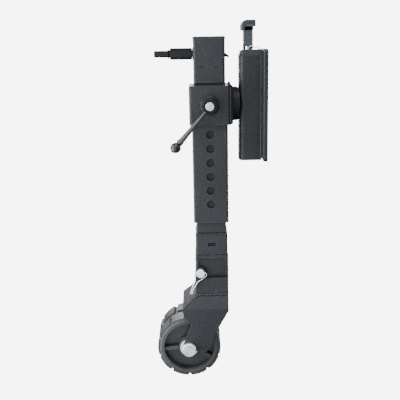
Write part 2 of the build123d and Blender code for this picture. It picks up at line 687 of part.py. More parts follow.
with BuildPart() as bevel_pinion:
    add(input_plane.location * pinion_local.part)
save(bevel_pinion, "bevel_pinion")

with BuildPart() as bevel_gear_wheel:
    add(screw_plane.location * gear_local.part)
save(bevel_gear_wheel, "bevel_gear")

HEX_END = 31.9
ADAPTER_LEFT = TUBE_X - 79.0
ADAPTER_RIGHT = TUBE_X - 32.2
with BuildPart() as input_shaft:
    with BuildSketch(facing_right(TUBE_X - HEX_END, 0, INPUT_Z)):
        Circle(INPUT_R)
    extrude(amount=HEX_END - PINION_BACK)
    with BuildSketch(facing_right(TUBE_X - PINION_BACK, 0, INPUT_Z)):
        Circle(PINION_BORE_R)
    extrude(amount=PINION_BACK - 14)
    with BuildSketch(facing_right(TUBE_X - 14, 0, INPUT_Z)):
        Circle(FAR_END_R)
    extrude(amount=14 + HEAD_OUTER / 2 - 2.3)
    with BuildSketch(facing_right(TUBE_X - 60, 0, INPUT_Z)):
        RegularPolygon(6.4 / cos(radians(30)), 6)
    extrude(amount=60 - HEX_END)
    chamfer(input_shaft.faces().sort_by(Axis.X)[0].edges(), 0.7)
save(input_shaft, "input_shaft")

with BuildPart() as drill_adapter:
    with BuildSketch(facing_right(ADAPTER_LEFT, 0, INPUT_Z)):
        RegularPolygon(9.5 / cos(radians(30)), 6, rotation=30)
    extrude(amount=ADAPTER_RIGHT - ADAPTER_LEFT)
    with BuildSketch(facing_right(ADAPTER_LEFT - 1, 0, INPUT_Z)):
        Circle(14)
        Circle(9.4, mode=Mode.SUBTRACT)
    extrude(amount=5, taper=-30, mode=Mode.SUBTRACT)
    chamfer(drill_adapter.faces().sort_by(Axis.X)[-1].outer_wire().edges(), 0.8)
    with BuildSketch(facing_right(TUBE_X - 106, 0, INPUT_Z)):
        RegularPolygon(5.5 / cos(radians(30)), 6, rotation=30)
    extrude(amount=28)
    chamfer(drill_adapter.faces().sort_by(Axis.X)[0].edges(), 0.8)
    with BuildSketch(facing_right(TUBE_X - 60.6, 0, INPUT_Z)):
        RegularPolygon(6.5 / cos(radians(30)), 6)
    extrude(amount=30, mode=Mode.SUBTRACT)
save(drill_adapter, "drill_adapter")

SCREW_SHOULDER = BLOCK_BOTTOM - 4.3
with BuildPart() as lead_screw:
    with BuildSketch(level(SCREW_BOTTOM)):
        Circle(SCREW_R)
    extrude(amount=SCREW_SHOULDER - SCREW_BOTTOM)
    chamfer(lead_screw.faces().sort_by(Axis.Z)[0].edges(), 1.5)
    with BuildSketch(level(SCREW_SHOULDER)):
        Circle(SCREW_NECK_R)
    extrude(amount=INPUT_Z - 9.2 - SCREW_SHOULDER)
    with BuildSketch(level(SCREW_SHOULDER)):
        Circle(14)
    extrude(amount=4)
save(lead_screw, "lead_screw")

# ---- sliding leg --------------------------------------------------------------------
with BuildPart() as inner_leg:
    add(square_tube(LEG_OUTER, LEG_OUTER - 2 * LEG_WALL, LEG_BOTTOM, LEG_TOP, 3).part)
    with BuildSketch(facing_front(HITCH_X, -LEG_OUTER, HITCH_Z)):
        Circle(HITCH_R + RUNNING_GAP)
    extrude(amount=-2 * LEG_OUTER, mode=Mode.SUBTRACT)
save(inner_leg, "inner_leg")

with BuildPart() as drive_nut:
    with BuildSketch(level(LEG_TOP - 32)):
        RectangleRounded(LEG_OUTER - 2 * LEG_WALL, LEG_OUTER - 2 * LEG_WALL, 1)
        Circle(SCREW_R + RUNNING_GAP, mode=Mode.SUBTRACT)
    extrude(amount=32)
save(drive_nut, "drive_nut")

KEY_WIDTH = 16.5
KEY_HEIGHT = 7.8
KEY_Z = -280.5
with BuildPart() as leg_sleeve:
    add(square_tube(SLEEVE_OUTER, LEG_OUTER, SLEEVE_BOTTOM, SLEEVE_TOP, 4).part)
    with BuildSketch(facing_front(TUBE_X, -SLEEVE_OUTER / 2 - 1, KEY_Z)):
        RectangleRounded(KEY_WIDTH, KEY_HEIGHT, 1)
    extrude(amount=-3.5, mode=Mode.SUBTRACT)
save(leg_sleeve, "leg_sleeve")

with BuildPart() as leg_key:
    with BuildSketch(facing_front(TUBE_X, -LEG_OUTER / 2, KEY_Z)):
        RectangleRounded(KEY_WIDTH - 2.4, KEY_HEIGHT - 3.2, 0.6)
    extrude(amount=1.6)
save(leg_key, "leg_key")

# ---- fork ---------------------------------------------------------------------------
WINDOW_LEFT = -28.0
WINDOW_RIGHT = 27.0
WINDOW_TOP = -309.5
WINDOW_BOTTOM = -351.0
LUG_R = 11.0
LUG_THICKNESS = 4.5
LUG_ROOT = 3.2
with BuildPart() as fork_socket:
    add(square_tube(SOCKET_OUTER, LEG_OUTER + 0.4, SOCKET_BOTTOM, SOCKET_TOP, 4).part)
    with BuildSketch(facing_front(TUBE_X, -SOCKET_OUTER / 2 - 1, 0)):
        with BuildLine():
            Polyline(
                (WINDOW_LEFT, WINDOW_BOTTOM),
                (WINDOW_RIGHT, WINDOW_BOTTOM),
                (WINDOW_RIGHT, WINDOW_TOP - 5),
                (WINDOW_RIGHT - 4, WINDOW_TOP),
                (WINDOW_LEFT + 4, WINDOW_TOP),
                (WINDOW_LEFT, WINDOW_TOP - 5),
                close=True,
            )
        make_face()
    extrude(amount=-5.5, mode=Mode.SUBTRACT)
    for lug_plane in (
        facing_front(HITCH_X, -SOCKET_OUTER / 2 + LUG_ROOT, HITCH_Z),
        facing_back(HITCH_X, SOCKET_OUTER / 2 - LUG_ROOT, HITCH_Z),
    ):
        with BuildSketch(lug_plane):
            Circle(LUG_R)
        extrude(amount=LUG_THICKNESS + LUG_ROOT)
    with BuildSketch(facing_front(HITCH_X, -SOCKET_OUTER, HITCH_Z)):
        Circle(HITCH_R + RUNNING_GAP)
    extrude(amount=-2 * SOCKET_OUTER, mode=Mode.SUBTRACT)
save(fork_socket, "fork_socket")


def fork_plate(side):
    """Bent side plate of the fork: upper face, knee, sloped shoulder and arm.

    side is -1 for the front plate and +1 for the back one."""
    knee = FORK_KNEE_Z
    with BuildPart() as plate:
        with BuildSketch(facing_right(FORK_LEFT, 0, 0)):
            with BuildLine():
                Polyline(
                    (side * FORK_TOP_Y, FORK_TOP_Z),
                    (side * FORK_TOP_Y, knee),
                    (side * FORK_ARM_Y, FORK_SHOULDER_Z),
                    (side * FORK_ARM_Y, AXLE_Z - 20),
                    (side * (FORK_ARM_Y - FORK_PLATE), AXLE_Z - 20),
                    (side * (FORK_ARM_Y - FORK_PLATE), FORK_SHOULDER_Z - 2.4),
                    (side * (FORK_TOP_Y - FORK_PLATE), knee - 2.4),
                    (side * (FORK_TOP_Y - FORK_PLATE), FORK_TOP_Z),
                    close=True,
                )
            make_face()
        extrude(amount=FORK_RIGHT - FORK_LEFT)
        fillet(plate.edges().filter_by(Axis.X).group_by(Axis.Z)[-2:-1][0], 1.5)
        with BuildSketch(facing_front(TUBE_X, -80, 0)):
            with BuildLine():
                Polyline(
                    (-SOCKET_OUTER / 2 + 1.5, FORK_TOP_Z),
                    (33, FORK_TOP_Z),
                    (33, -418.5),
                    (13.5, -453.5),
                    (5, -467),
                    (-5, AXLE_Z + 6),
                    (-14.5, AXLE_Z - 7),
                    (-24, AXLE_Z - ARM_END_R),
                    (-50, AXLE_Z - ARM_END_R),
                )
                ThreePointArc(
                    (-50, AXLE_Z - ARM_END_R),
                    (-50 - ARM_END_R, AXLE_Z),
                    (-61, AXLE_Z + 10.9),
                )
                Polyline(
                    (-61, AXLE_Z + 10.9),
                    (-57, -482),
                    (-55, -474),
                    (-44, -446),
                    (-60, -431),
                    (-62, FORK_SHOULDER_Z),
                    (-SOCKET_OUTER / 2 + 1.5, FORK_KNEE_Z),
                    (-SOCKET_OUTER / 2 + 1.5, FORK_TOP_Z),
                )
            make_face()
        extrude(amount=-160, mode=Mode.INTERSECT)
        with BuildSketch(facing_front(AXLE_X, -80, AXLE_Z)):
            Circle(AXLE_R)
        extrude(amount=-160, mode=Mode.SUBTRACT)
    return plate


save(fork_plate(-1), "front_fork_plate")
save(fork_plate(1), "back_fork_plate")

# Side walls close the shoulder between the two bent plates.
WALL_HALF = FORK_TOP_Y - FORK_PLATE
with BuildPart() as fork_left_wall:
    with BuildSketch(facing_front(TUBE_X, -FORK_ARM_Y + FORK_PLATE, 0)):
        with BuildLine():
            Polyline(
                (-SOCKET_OUTER / 2, FORK_KNEE_Z),
                (-62, FORK_SHOULDER_Z),
                (-60.5, -427),
                (-56, -427),
                (-57, FORK_SHOULDER_Z - 1.5),
                (-SOCKET_OUTER / 2, FORK_KNEE_Z - 6.5),
                close=True,
            )
        make_face()
    extrude(amount=-2 * (FORK_ARM_Y - FORK_PLATE))
    with BuildSketch(facing_right(FORK_LEFT - 1, 0, 0)):
        for side in (-1, 1):
            with BuildLine():
                Polyline(
                    (side * (FORK_TOP_Y - FORK_PLATE), FORK_KNEE_Z + 2),
                    (side * (FORK_TOP_Y - FORK_PLATE), FORK_KNEE_Z - 2.4),
                    (side * (FORK_ARM_Y - FORK_PLATE), FORK_SHOULDER_Z - 2.4),
                    (side * (FORK_ARM_Y + 1), FORK_SHOULDER_Z - 2.4),
                    (side * (FORK_ARM_Y + 1), FORK_KNEE_Z + 2),
                    close=True,
                )
            make_face()
    extrude(amount=60, mode=Mode.SUBTRACT)
save(fork_left_wall, "fork_left_wall")

with BuildPart() as fork_right_wall:
    with BuildSketch(facing_right(FORK_RIGHT - FORK_PLATE, 0, 0)):
        with BuildLine():
            Polyline(
                (-WALL_HALF, -405),
                (-WALL_HALF - 6.6, -405),
                (-FORK_ARM_Y + FORK_PLATE, FORK_SHOULDER_Z - 2.4),
                (FORK_ARM_Y - FORK_PLATE, FORK_SHOULDER_Z - 2.4),
                (WALL_HALF + 6.6, -405),
                close=True,
            )
        make_face()
    extrude(amount=FORK_PLATE)
save(fork_right_wall, "fork_right_wall")

# ---- axle ---------------------------------------------------------------------------
AXLE_HEAD_R = 14.3
AXLE_HEAD = 8.0
with BuildPart() as axle:
    with BuildSketch(facing_front(AXLE_X, FORK_ARM_Y, AXLE_Z)):
        Circle(AXLE_R)
    extrude(amount=2 * FORK_ARM_Y)
save(axle, "axle")

with BuildPart() as axle_caps:
    for cap_plane in (facing_front(AXLE_X, -FORK_ARM_Y, AXLE_Z), facing_back(AXLE_X, FORK_ARM_Y, AXLE_Z)):
        with BuildSketch(cap_plane):
            Circle(AXLE_HEAD_R)
        extrude(amount=AXLE_HEAD)
    rims = axle_caps.faces().filter_by(Axis.Y).group_by(Axis.Y)
    chamfer(rims[0].edges() + rims[-1].edges(), 1.0)
    for cap_plane in (
        facing_front(AXLE_X, -FORK_ARM_Y - AXLE_HEAD, AXLE_Z),
        facing_back(AXLE_X, FORK_ARM_Y + AXLE_HEAD, AXLE_Z),
    ):
        with BuildSketch(cap_plane):
            Circle(8.9)
            Circle(7.6, mode=Mode.SUBTRACT)
            Circle(2.1)
        extrude(amount=-1.2, mode=Mode.SUBTRACT)
save(axle_caps, "axle_caps")

# Thrust washers between the arms and the wheels, and the spacer between the wheels.
ARM_INNER_Y = FORK_ARM_Y - FORK_PLATE
WASHER = 2.6
WHEEL_INNER_Y = WHEEL_MID_Y - WHEEL_WIDTH / 2
with BuildPart() as axle_washers:
    for washer_plane in (
        facing_back(AXLE_X, -ARM_INNER_Y, AXLE_Z),
        facing_front(AXLE_X, ARM_INNER_Y, AXLE_Z),
    ):
        with BuildSketch(washer_plane):
            Circle(18.8)
            Circle(AXLE_R, mode=Mode.SUBTRACT)
        extrude(amount=WASHER)
    with BuildSketch(facing_back(AXLE_X, -WHEEL_INNER_Y + 0.3, AXLE_Z)):
        Circle(15)
        Circle(AXLE_R, mode=Mode.SUBTRACT)
    extrude(amount=2 * WHEEL_INNER_Y - 0.6)
save(axle_washers, "axle_washers")

# ---- wheels -------------------------------------------------------------------------
TREAD_R = 61.5
RECESS_R = 52.5
HUB_OUTER_R = 22.5
BEARING_R = 15.0
WHEEL_WEB = 6.0
SPOKE_WIDTH = 8.0
SPOKE_SETBACK = 4.5
LUG_HALF = 16.6
LUG_SETBACK = 1.5


def wheel_tyre(mid_y, first_lug):
    """Moulded tread ring with broad cross lugs, the first one at the angle first_lug."""
    back = mid_y + WHEEL_WIDTH / 2
    with BuildSketch() as lug:
        with BuildLine():
            Polyline(
                (TREAD_R - 3, -LUG_HALF - 1),
                (WHEEL_R - 2.2, -LUG_HALF),
                (WHEEL_R - 0.6, -LUG_HALF / 2),
                (WHEEL_R, 0),
                (WHEEL_R - 0.6, LUG_HALF / 2),
                (WHEEL_R - 2.2, LUG_HALF),
                (TREAD_R - 3, LUG_HALF + 1),
                close=True,
            )
        make_face()
    lug_profile = lug.sketch
    with BuildPart() as tyre:
        with BuildSketch(facing_front(AXLE_X, back, AXLE_Z)):
            Circle(TREAD_R)
        extrude(amount=WHEEL_WIDTH)
        chamfer(tyre.edges().filter_by(GeomType.CIRCLE), 1.5, 3)
        with BuildSketch(facing_front(AXLE_X, back - LUG_SETBACK, AXLE_Z)):
            with PolarLocations(0, LUG_COUNT, start_angle=first_lug):
                add(lug_profile)
        extrude(amount=WHEEL_WIDTH - 2 * LUG_SETBACK)
        with BuildSketch(facing_front(AXLE_X, back + 1, AXLE_Z)):
            Circle(RECESS_R)
        extrude(amount=WHEEL_WIDTH + 2, mode=Mode.SUBTRACT)
    return tyre


def wheel_rim(mid_y):
    """Mid web with a hub and spokes on both sides, inside the tread ring."""
    back = mid_y + WHEEL_WIDTH / 2
    with BuildPart() as rim:
        with BuildSketch(facing_front(AXLE_X, mid_y + WHEEL_WEB / 2, AXLE_Z)):
            Circle(RECESS_R)
        extrude(amount=WHEEL_WEB)
        with BuildSketch(facing_front(AXLE_X, back - 1.2, AXLE_Z)):
            Circle(HUB_OUTER_R)
        extrude(amount=WHEEL_WIDTH - 2.4)
        with BuildSketch(facing_front(AXLE_X, back - SPOKE_SETBACK, AXLE_Z)):
            for angle in SPOKE_ANGLES:
                with Locations(Location((0, 0, 0), (0, 0, angle))):
                    with Locations(((RECESS_R + HUB_OUTER_R) / 2, 0)):
                        Rectangle(RECESS_R - HUB_OUTER_R - 0.6, SPOKE_WIDTH)
            Circle(HUB_OUTER_R)
        extrude(amount=WHEEL_WIDTH - 2 * SPOKE_SETBACK)
        with BuildSketch(facing_front(AXLE_X, back, AXLE_Z)):
            Circle(BEARING_R)
        extrude(amount=WHEEL_WIDTH, mode=Mode.SUBTRACT)
    return rim


def wheel_bearings(mid_y):
    """Two plain bearings pressed into the hub."""
    with BuildPart() as bearings:
        for start in (mid_y - WHEEL_WIDTH / 2 + 0.3, mid_y + WHEEL_WIDTH / 2 - 12.3):
            with BuildSketch(facing_back(AXLE_X, start, AXLE_Z)):
                Circle(BEARING_R)
                Circle(AXLE_R + RUNNING_GAP, mode=Mode.SUBTRACT)
            extrude(amount=12)
    return bearings


for place, mid_y, first_lug in (("front", -WHEEL_MID_Y, -72), ("back", WHEEL_MID_Y, -82)):
    save(wheel_tyre(mid_y, first_lug), f"{place}_wheel_tyre")
    save(wheel_rim(mid_y), f"{place}_wheel_rim")
    save(wheel_bearings(mid_y), f"{place}_wheel_bearings")

# ---- hitch pin and its wire clip ----------------------------------------------------
# The clip's two ends sit in a cross hole in the pin's head, and it swings about them.
PIN_HEAD_BACK = -SOCKET_OUTER / 2 - LUG_THICKNESS - 0.3
PIN_HEAD = 8.0
PIN_HEAD_R = 8.7
CLIP_WIRE_R = 1.0
CLIP_Y = PIN_HEAD_BACK - 4.0
with BuildPart() as hitch_pin:
    with BuildSketch(facing_front(HITCH_X, SOCKET_OUTER / 2 + LUG_THICKNESS + 3, HITCH_Z)):
        Circle(HITCH_R)
    extrude(amount=SOCKET_OUTER / 2 + LUG_THICKNESS + 3 - PIN_HEAD_BACK)
    chamfer(hitch_pin.faces().sort_by(Axis.Y)[-1].edges(), 1.5)
    with BuildSketch(facing_front(HITCH_X, PIN_HEAD_BACK, HITCH_Z)):
        Circle(PIN_HEAD_R)
    extrude(amount=PIN_HEAD)
    chamfer(hitch_pin.faces().sort_by(Axis.Y)[0].edges(), 1.0)
    with BuildSketch(facing_right(HITCH_X - 2 * PIN_HEAD_R, CLIP_Y, HITCH_Z)):
        Circle(CLIP_WIRE_R + RUNNING_GAP)
    extrude(amount=4 * PIN_HEAD_R, mode=Mode.SUBTRACT)
save(hitch_pin, "hitch_pin")

with BuildPart() as pin_clip:
    with BuildLine(facing_front(HITCH_X, CLIP_Y, HITCH_Z)):
        clip_path = FilletPolyline(
            (9.5, 0),
            (11.9, 0),
            (11.5, -6.0),
            (-5.5, -18.0),
            (-15.0, -33.0),
            (-18.2, -44.5),
            (-21.4, -43.4),
            (-17.8, -31.0),
            (-11.0, -15.0),
            (-11.9, 0),
            (-9.5, 0),
            radius=(1.2, 3, 5, 6, 1.5, 1.5, 6, 6, 1.2),
        )
    with BuildSketch(Plane(clip_path @ 0, z_dir=clip_path % 0)):
        Circle(CLIP_WIRE_R)
    sweep()
save(pin_clip, "pin_clip")
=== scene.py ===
"""Looks for the side-mount swivel trailer jack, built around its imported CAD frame."""
import json
import math

import bmesh
import bpy
from mathutils import Matrix, Vector


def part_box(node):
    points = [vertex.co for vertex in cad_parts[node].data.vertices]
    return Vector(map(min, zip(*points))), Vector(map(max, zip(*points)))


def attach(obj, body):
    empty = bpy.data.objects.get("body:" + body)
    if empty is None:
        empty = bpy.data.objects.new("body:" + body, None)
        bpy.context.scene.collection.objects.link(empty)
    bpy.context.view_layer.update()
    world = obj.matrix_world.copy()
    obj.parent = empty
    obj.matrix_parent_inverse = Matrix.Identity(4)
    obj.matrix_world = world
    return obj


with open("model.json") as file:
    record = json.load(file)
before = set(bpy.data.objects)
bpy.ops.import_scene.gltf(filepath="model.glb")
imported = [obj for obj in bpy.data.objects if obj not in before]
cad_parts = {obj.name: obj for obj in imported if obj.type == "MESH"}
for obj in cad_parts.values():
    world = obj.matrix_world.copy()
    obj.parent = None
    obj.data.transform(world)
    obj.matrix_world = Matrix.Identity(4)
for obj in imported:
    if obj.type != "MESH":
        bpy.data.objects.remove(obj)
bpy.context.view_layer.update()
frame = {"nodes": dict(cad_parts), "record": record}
NODES = frame["nodes"]

MM = 0.001

# ---- places, read from the frame ----------------------------------------------------


def centre(node):
    low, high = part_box(node)
    return (low + high) / 2


TUBE_X = centre("outer_tube").x


# ---- materials ----------------------------------------------------------------------
class Nodes:
    """Short-hand for building one material's node tree."""

    def __init__(self, name):
        self.material = bpy.data.materials.new(name)
        self.material.use_nodes = True
        self.tree = self.material.node_tree
        self.shader = self.tree.nodes["Principled BSDF"]
        self.coord = self.add("ShaderNodeTexCoord").outputs["Object"]

    def add(self, kind, **settings):
        node = self.tree.nodes.new(kind)
        for key, value in settings.items():
            if key in node.inputs:
                node.inputs[key].default_value = value
            else:
                setattr(node, key, value)
        return node

    def link(self, out, into):
        self.tree.links.new(out, into)

    def noise(self, scale, detail=3.0, rough=0.55, stretch=None):
        tex = self.add("ShaderNodeTexNoise", Scale=scale, Detail=detail, Roughness=rough)
        if stretch:
            mapping = self.add("ShaderNodeMapping", Scale=stretch)
            self.link(self.coord, mapping.inputs["Vector"])
            self.link(mapping.outputs[0], tex.inputs["Vector"])
        else:
            self.link(self.coord, tex.inputs["Vector"])
        return tex.outputs["Fac"]

    def ramp(self, source, low, high, start=0.0, end=1.0):
        """Linear remap of source from low..high to start..end, clamped."""
        node = self.add("ShaderNodeMapRange")
        node.inputs["From Min"].default_value = low
        node.inputs["From Max"].default_value = high
        node.inputs["To Min"].default_value = start
        node.inputs["To Max"].default_value = end
        self.link(source, node.inputs["Value"])
        return node.outputs[0]

    def math(self, operation, a, b):
        node = self.add("ShaderNodeMath", operation=operation)
        for value, socket in ((a, node.inputs[0]), (b, node.inputs[1])):
            if isinstance(value, (int, float)):
                socket.default_value = value
            else:
                self.link(value, socket)
        return node.outputs[0]

    def mix(self, factor, a, b):
        node = self.add("ShaderNodeMix", data_type="RGBA")
        for value, socket in ((factor, node.inputs[0]), (a, node.inputs[6]), (b, node.inputs[7])):
            if isinstance(value, (int, float)):
                socket.default_value = value
            elif isinstance(value, tuple):
                socket.default_value = (*value, 1.0)
            else:
                self.link(value, socket)
        return node.outputs[2]

    def edges(self, radius):
        """1 on the convex and concave edges of the mesh, 0 on its open faces."""
        bevel = self.add("ShaderNodeBevel", Radius=radius, samples=6)
        geometry = self.add("ShaderNodeNewGeometry")
        dot = self.add("ShaderNodeVectorMath", operation="DOT_PRODUCT")
        self.link(bevel.outputs[0], dot.inputs[0])
        self.link(geometry.outputs["Normal"], dot.inputs[1])
        return self.ramp(dot.outputs["Value"], 0.985, 0.80)

    def occlusion_shade_mask(self, reach, low=0.35, high=0.95):
        """Painted-shade mask: 0 deep inside holes, gaps and inner corners, 1 on open faces."""
        occlusion = self.add("ShaderNodeAmbientOcclusion", Distance=reach, samples=8)
        return self.ramp(occlusion.outputs["AO"], low, high)

    def shade(self, colour, reach, floor=0.30):
        """Painted shade: darken a colour in holes, gaps and inner corners, where shade falls."""
        dark = self.add("ShaderNodeVectorMath", operation="SCALE")
        self.link(colour, dark.inputs[0])
        dark.inputs["Scale"].default_value = floor
        return self.mix(self.occlusion_shade_mask(reach), dark.outputs[0], colour)

    def bump(self, *layers):
        """Bump from (height, strength, distance) layers."""
        previous = None
        for height, strength, distance in layers:
            node = self.add("ShaderNodeBump", Strength=strength, Distance=distance)
            self.link(height, node.inputs["Height"])
            if previous:
                self.link(previous, node.inputs["Normal"])
            previous = node.outputs[0]
        self.link(previous, self.shader.inputs["Normal"])


def scaled(colour, factor, most=1.0):
    """The colour made lighter or darker, no channel above most."""
    return tuple(min(c * factor, most) for c in colour)


def powder_coat(name, colour, wear_and_sheen_colour, grain=1.0, roughness=0.46):
    """Fine-textured powder coat: orange-peel grain, pale specks, scuffs, edges lightened partly
    by wear and partly as a painted highlight, and painted shade in hollows.
    """
    m = Nodes(name)
    broad = m.noise(14, 4)
    grain_fine = m.noise(620, 2, 0.6)
    grain_mid = m.noise(260, 3, 0.6)
    specks = m.ramp(m.noise(1100, 1.5, 0.7), 0.60, 0.74)
    scuffs = m.ramp(m.noise(55, 5, 0.65, (1, 1, 0.25)), 0.60, 0.78)
    base = m.mix(m.ramp(broad, 0.35, 0.65), scaled(colour, 0.80), scaled(colour, 1.22))
    base = m.mix(m.ramp(grain_mid, 0.35, 0.7, 0.0, 0.75), base, scaled(colour, 1.8))
    base = m.mix(m.math("MULTIPLY", specks, 0.30), base, scaled(colour, 3.2))
    base = m.mix(m.math("MULTIPLY", scuffs, 0.18), base, wear_and_sheen_colour)
    # Edge lightening: partly wear, partly a painted highlight along rounded edges; painted shade
    # then darkens holes, gaps and inner corners.
    rubbed = m.ramp(m.noise(140, 4, 0.7), 0.36, 0.62, 0.25, 0.95)
    wear_and_sheen = m.math("MULTIPLY", m.edges(0.0011), rubbed)
    base = m.mix(wear_and_sheen, m.shade(base, 0.014), wear_and_sheen_colour)
    m.link(base, m.shader.inputs["Base Color"])
    rough = m.ramp(grain_mid, 0.3, 0.7, roughness - 0.07, roughness + 0.10)
    rough = m.math("SUBTRACT", rough, m.math("MULTIPLY", scuffs, 0.10))
    m.link(rough, m.shader.inputs["Roughness"])
    m.shader.inputs["Specular IOR Level"].default_value = 0.32
    m.bump((grain_mid, 0.45 * grain, 0.0009), (grain_fine, 0.55 * grain, 0.0005))
    return m.material


def zinc(name, colour=(0.78, 0.79, 0.82), roughness=0.34):
    """Zinc plate: clouded bright metal with fine turning marks, a few dull spots and a painted
    highlight on its edges.
    """
    m = Nodes(name)
    cloud = m.noise(90, 4)
    fine = m.noise(1500, 2, 0.6)
    spots = m.ramp(m.noise(240, 4, 0.7), 0.62, 0.75)
    base = m.mix(m.ramp(cloud, 0.3, 0.7), scaled(colour, 0.82), colour)
    base = m.mix(m.math("MULTIPLY", spots, 0.35), base, scaled(colour, 0.45))
    # Painted highlight: edges mixed towards near white.
    base = m.mix(m.math("MULTIPLY", m.edges(0.0005), 0.5), base, (0.92, 0.93, 0.95))
    m.link(base, m.shader.inputs["Base Color"])
    m.shader.inputs["Metallic"].default_value = 0.75
    rough = m.ramp(cloud, 0.3, 0.7, roughness - 0.06, roughness + 0.12)
    m.link(rough, m.shader.inputs["Roughness"])
    m.bump((fine, 0.12, 0.0003), (cloud, 0.10, 0.0006))
    return m.material


def steel(name, colour, roughness=0.35, metallic=0.85, gloss=0.5):
    """Machined or blackened steel with faint brushing and a painted highlight on its edges."""
    m = Nodes(name)
    m.shader.inputs["Specular IOR Level"].default_value = gloss
    brushed = m.noise(380, 3, 0.6, (0.25, 1, 1))
    cloud = m.noise(40, 4)
    base = m.mix(m.ramp(cloud, 0.3, 0.7), scaled(colour, 0.78), scaled(colour, 1.15))
    # Painted highlight: a lighter colour mixed onto the edges.
    edge_highlight_colour = tuple(min(c * 2.4 + 0.03, 0.9) for c in colour)
    base = m.mix(m.math("MULTIPLY", m.edges(0.0007), 0.75), base, edge_highlight_colour)
    m.link(base, m.shader.inputs["Base Color"])
    m.shader.inputs["Metallic"].default_value = metallic
    rough = m.ramp(brushed, 0.3, 0.7, roughness - 0.08, roughness + 0.10)
    m.link(rough, m.shader.inputs["Roughness"])
    m.bump((brushed, 0.15, 0.0003),)
    return m.material


def plastic(name, colour, roughness=0.42, grain=0.5, dust=0.15, highlight_gain=1.8, reach=0.012):
    """Moulded plastic: fine spark-eroded grain, slight dust, a painted highlight on its edges and
    painted shade in its hollows.
    """
    m = Nodes(name)
    cloud = m.noise(22, 4)
    fine = m.noise(1300, 2, 0.6)
    scratch = m.ramp(m.noise(160, 4, 0.7, (1, 0.3, 1)), 0.60, 0.76)
    base = m.mix(m.ramp(cloud, 0.35, 0.65), scaled(colour, 0.82), scaled(colour, 1.18))
    base = m.mix(m.math("MULTIPLY", scratch, dust), base, scaled(colour, 4))
    # Painted highlight on the edges, then painted shade in holes, gaps and inner corners.
    base = m.mix(m.math("MULTIPLY", m.edges(0.0009), 0.7), base, scaled(colour, highlight_gain))
    m.link(m.shade(base, reach, 0.22), m.shader.inputs["Base Color"])
    rough = m.ramp(cloud, 0.3, 0.7, roughness - 0.06, roughness + 0.08)
    m.link(rough, m.shader.inputs["Roughness"])
    m.bump((fine, grain, 0.0004),)
    return m.material


COAT = (0.0100, 0.0120, 0.0148)
COAT_WEAR_AND_SHEEN = (0.10, 0.112, 0.128)
GRIP = (0.034, 0.040, 0.050)
GRIP_WEAR_AND_SHEEN = (0.18, 0.19, 0.21)
RIM = (0.024, 0.028, 0.034)
TREAD = (0.025, 0.0285, 0.033)
MATERIALS = {
    "powder_coat": powder_coat("powder_coat", COAT, COAT_WEAR_AND_SHEEN),
    "zinc": zinc("zinc"),
    "black_oxide": steel("black_oxide", (0.0055, 0.0068, 0.0085), 0.55, 0.0, 0.18),
    "machined_steel": steel("machined_steel", (0.11, 0.115, 0.125), 0.45, 0.80),
    "bronze": steel("bronze", (0.46, 0.31, 0.15), 0.34, 0.95),
    "nylon": plastic("nylon", (0.008, 0.008, 0.009), 0.6, 0.4),
    "knob_plastic": plastic("knob_plastic", (0.008, 0.008, 0.009), 0.34, 0.15, 0.05),
    "grip_plastic": powder_coat("grip_plastic", GRIP, GRIP_WEAR_AND_SHEEN, 0.6, 0.40),
    "wheel_plastic": plastic("wheel_plastic", RIM, 0.40, 0.35, 0.12, reach=0.030),
    "wheel_tread": plastic("wheel_tread", TREAD, 0.55, 0.9, 0.25, 2.4, reach=0.016),
}

SLOT_OF = {part["node"]: part["material_slot"] for part in frame["record"]["subparts"]}


def dress(piece, material):
    piece.data.materials.clear()
    piece.data.materials.append(material)


for node_name, node in NODES.items():
    dress(node, MATERIALS[SLOT_OF[node_name]])

# ---- details the CAD leaves out, and a painted shadow band ---------------------------
PLATE_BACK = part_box("mounting_plate")[0].x
CHANNEL_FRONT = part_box("bracket_channel")[0].y
CHANNEL_LOW, CHANNEL_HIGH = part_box("bracket_channel")[0].z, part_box("bracket_channel")[1].z
COLLAR_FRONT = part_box("mounting_collar")[0].y
COLLAR_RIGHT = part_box("mounting_collar")[1].x
COLLAR_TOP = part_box("mounting_collar")[1].z
SOCKET_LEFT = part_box("fork_left_wall")[1].x
FORK_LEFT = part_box("fork_left_wall")[0].x
FORK_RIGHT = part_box("front_fork_plate")[1].x
SHOULDER_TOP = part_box("fork_left_wall")[1].z
SHOULDER_LOW = SHOULDER_TOP - 28 * MM
ARM_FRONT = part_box("front_fork_plate")[0].y
BEAD_SIDES = 10             # corners round a bead's section
BEAD_STEPS = 3              # sections along each of its ripples
SLEEVE_LEFT, SLEEVE_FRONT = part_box("leg_sleeve")[0].x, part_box("leg_sleeve")[0].y
SLEEVE_RIGHT = 2 * TUBE_X - SLEEVE_LEFT
SLEEVE_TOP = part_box("leg_sleeve")[1].z
SOCKET_FRONT = -33.7 * MM
WINDOW_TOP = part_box("fork_socket")[1].z - 6 * MM
UPPER_FRONT = ARM_FRONT + 11.8 * MM


def new_piece(name, mesh_maker, body, slot):
    """Mesh piece made by mesh_maker(bm), shaded smooth, riding on one body."""
    bm = bmesh.new()
    mesh_maker(bm)
    bmesh.ops.recalc_face_normals(bm, faces=bm.faces)
    mesh = bpy.data.meshes.new(name)
    bm.to_mesh(mesh)
    bm.free()
    for polygon in mesh.polygons:
        polygon.use_smooth = True
    piece = bpy.data.objects.new(name, mesh)
    bpy.context.collection.objects.link(piece)
    dress(piece, MATERIALS[slot])
    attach(piece, body)
    return piece


